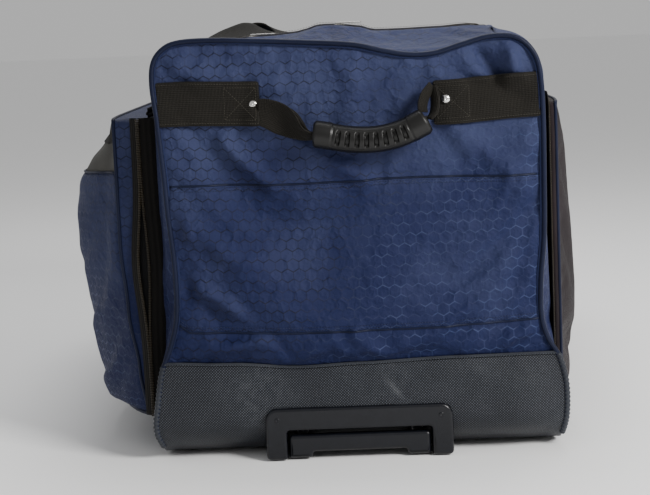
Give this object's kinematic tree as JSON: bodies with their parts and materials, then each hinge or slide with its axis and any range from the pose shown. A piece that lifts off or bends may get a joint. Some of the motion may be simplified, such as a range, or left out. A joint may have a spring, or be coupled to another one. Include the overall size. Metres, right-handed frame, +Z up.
{
  "type": "wheeled hockey equipment bag",
  "caption": "Long box-shaped fabric equipment bag with a tough base, a zipped lid, zipped side pockets, webbing handles, a telescopic pull handle at one end and inline wheels at the other.",
  "frame": {"origin": "middle of the bag's footprint, on the ground it stands on", "axes": "+Z up, Y along the bag's length with the pull-handle end facing -Y, X across"},
  "size_m": [0.5997, 0.9714, 0.4968],
  "materials": {
    "navy_fabric": "navy polyester with a tonal hexagon weave, matt",
    "base_fabric": "black coated base fabric with an embossed dot lattice, satin",
    "pocket_fabric": "dark polyester, matt",
    "webbing": "black woven webbing, matt",
    "zip_tape": "black woven zip tape",
    "vent_mesh": "grey open mesh",
    "piping": "navy covered piping, satin",
    "grip_plastic": "dark grey moulded grip, satin",
    "housing_plastic": "black moulded plastic, satin",
    "tube_metal": "anodised aluminium tube",
    "steel": "plated steel",
    "tyre": "dark polyurethane tyre",
    "hub_plastic": "grey moulded hub",
    "board_plastic": "black stiffener board"
  },
  "bodies": {
    "bag": {"base_floor_panel": "base_fabric", "base_front_panel": "base_fabric", "base_rear_panel": "base_fabric", "base_side_left": "base_fabric", "base_side_right": "base_fabric", "floor_board": "board_plastic", "end_panel_front": "navy_fabric", "end_panel_rear": "navy_fabric", "end_overlay_front": "navy_fabric", "piping_front": "piping", "piping_rear": "piping", "side_wrap_left": "navy_fabric", "side_wrap_right": "navy_fabric", "top_strip_front": "navy_fabric", "top_strip_rear": "navy_fabric", "main_zip_tape_outer": "zip_tape", "front_strap_left": "webbing", "front_strap_right": "webbing", "rear_strap": "webbing", "front_rivet_left": "steel", "front_rivet_right": "steel", "left_pocket_zip_tape": "zip_tape", "right_pocket_zip_tape": "zip_tape", "pull_housing": "housing_plastic", "outer_tube_frame": "tube_metal", "wheel_cup_left": "housing_plastic", "wheel_cup_right": "housing_plastic", "axle_left": "steel", "axle_right": "steel"},
    "lid": {"lid_panel": "navy_fabric", "main_zip_tape_inner": "zip_tape"},
    "main_slider_a": {"main_slider_a": "steel"},
    "main_pull_tab_a": {"main_pull_tab_a": "steel"},
    "main_slider_b": {"main_slider_b": "steel"},
    "main_pull_tab_b": {"main_pull_tab_b": "steel"},
    "front_handle": {"front_handle_webbing": "webbing", "front_handle_grip": "grip_plastic"},
    "rear_handle": {"rear_handle_webbing": "webbing", "rear_handle_grip": "grip_plastic"},
    "left_pocket": {"left_pocket_shell": "navy_fabric", "left_pocket_vent": "vent_mesh"},
    "left_pocket_slider": {"left_pocket_slider": "steel"},
    "left_pocket_pull_tab": {"left_pocket_pull_tab": "steel"},
    "right_pocket": {"right_pocket_shell": "pocket_fabric"},
    "right_pocket_slider": {"right_pocket_slider": "steel"},
    "right_pocket_pull_tab": {"right_pocket_pull_tab": "steel"},
    "left_carry": {"left_carry_loop": "webbing"},
    "right_carry": {"right_carry_loop": "webbing", "carry_wrap": "webbing"},
    "pull_mid": {"mid_tube_left": "tube_metal", "mid_tube_right": "tube_metal"},
    "pull_grip": {"inner_tube_left": "tube_metal", "inner_tube_right": "tube_metal", "pull_grip_bar": "housing_plastic"},
    "wheel_left": {"tyre_left": "tyre", "hub_left": "hub_plastic", "bearings_left": "steel"},
    "wheel_right": {"tyre_right": "tyre", "hub_right": "hub_plastic", "bearings_right": "steel"}
  },
  "joints": [
    {"name": "lid_hinge", "type": "hinge", "parent": "bag", "child": "lid", "pos_m": [0.0327, 0.3827, 0.472], "axis": [-1, 0, 0], "range_deg": [0, 110], "deforming": ["left_carry_loop"]},
    {"name": "main_slider_a_slide", "type": "slide", "parent": "lid", "child": "main_slider_a", "axis": [1, 0, 0], "range_m": [-0.01, 0.05]},
    {"name": "main_pull_tab_a_hinge", "type": "hinge", "parent": "main_slider_a", "child": "main_pull_tab_a", "pos_m": [-0.0723, -0.37275, 0.4772], "axis": [0, -1, 0], "range_deg": [0, 110]},
    {"name": "main_slider_b_slide", "type": "slide", "parent": "lid", "child": "main_slider_b", "axis": [1, 0, 0], "range_m": [-0.01, 0.095]},
    {"name": "main_pull_tab_b_hinge", "type": "hinge", "parent": "main_slider_b", "child": "main_pull_tab_b", "pos_m": [0.0277, -0.37275, 0.4772], "axis": [0, -1, 0], "range_deg": [0, 110]},
    {"name": "front_handle_hinge", "type": "hinge", "parent": "bag", "child": "front_handle", "pos_m": [0.0327, -0.4556, 0.423], "axis": [-1, 0, 0], "range_deg": [0, 110]},
    {"name": "rear_handle_hinge", "type": "hinge", "parent": "bag", "child": "rear_handle", "pos_m": [0.0327, 0.4556, 0.423], "axis": [1, 0, 0], "range_deg": [0, 110]},
    {"name": "left_pocket_hinge", "type": "hinge", "parent": "bag", "child": "left_pocket", "pos_m": [-0.1958, 0, 0.047], "axis": [0, -1, 0], "range_deg": [0, 60]},
    {"name": "left_pocket_slider_slide", "type": "slide", "parent": "bag", "child": "left_pocket_slider", "axis": [0, 1, 0], "range_m": [-0.22, 0.44]},
    {"name": "left_pocket_pull_tab_hinge", "type": "hinge", "parent": "left_pocket_slider", "child": "left_pocket_pull_tab", "pos_m": [-0.2019, -0.15, 0.40325], "axis": [0, 0, 1], "range_deg": [0, 110]},
    {"name": "right_pocket_hinge", "type": "hinge", "parent": "bag", "child": "right_pocket", "pos_m": [0.2612, 0, 0.047], "axis": [0, 1, 0], "range_deg": [0, 70], "deforming": ["right_carry_loop", "carry_wrap"]},
    {"name": "right_pocket_slider_slide", "type": "slide", "parent": "bag", "child": "right_pocket_slider", "axis": [0, 1, 0], "range_m": [-0.22, 0.44]},
    {"name": "right_pocket_pull_tab_hinge", "type": "hinge", "parent": "right_pocket_slider", "child": "right_pocket_pull_tab", "pos_m": [0.2673, -0.15, 0.40325], "axis": [0, 0, -1], "range_deg": [0, 110]},
    {"name": "left_carry_hinge", "type": "hinge", "parent": "bag", "child": "left_carry", "pos_m": [-0.18571, 0, 0.45632], "axis": [0, -1, 0], "range_deg": [0, 190]},
    {"name": "right_carry_hinge", "type": "hinge", "parent": "bag", "child": "right_carry", "pos_m": [0.25111, 0, 0.45632], "axis": [0, -1, 0], "range_deg": [0, 190]},
    {"name": "pull_mid_slide", "type": "slide", "parent": "bag", "child": "pull_mid", "axis": [0, -1, 0], "range_m": [0, 0.25]},
    {"name": "pull_grip_slide", "type": "slide", "parent": "pull_mid", "child": "pull_grip", "axis": [0, -1, 0], "range_m": [0, 0.25]},
    {"name": "wheel_left_spin", "type": "hinge", "parent": "bag", "child": "wheel_left", "pos_m": [-0.16155, 0.438, 0.038], "axis": [1, 0, 0], "continuous": true},
    {"name": "wheel_right_spin", "type": "hinge", "parent": "bag", "child": "wheel_right", "pos_m": [0.22695, 0.438, 0.038], "axis": [1, 0, 0], "continuous": true}
  ]
}
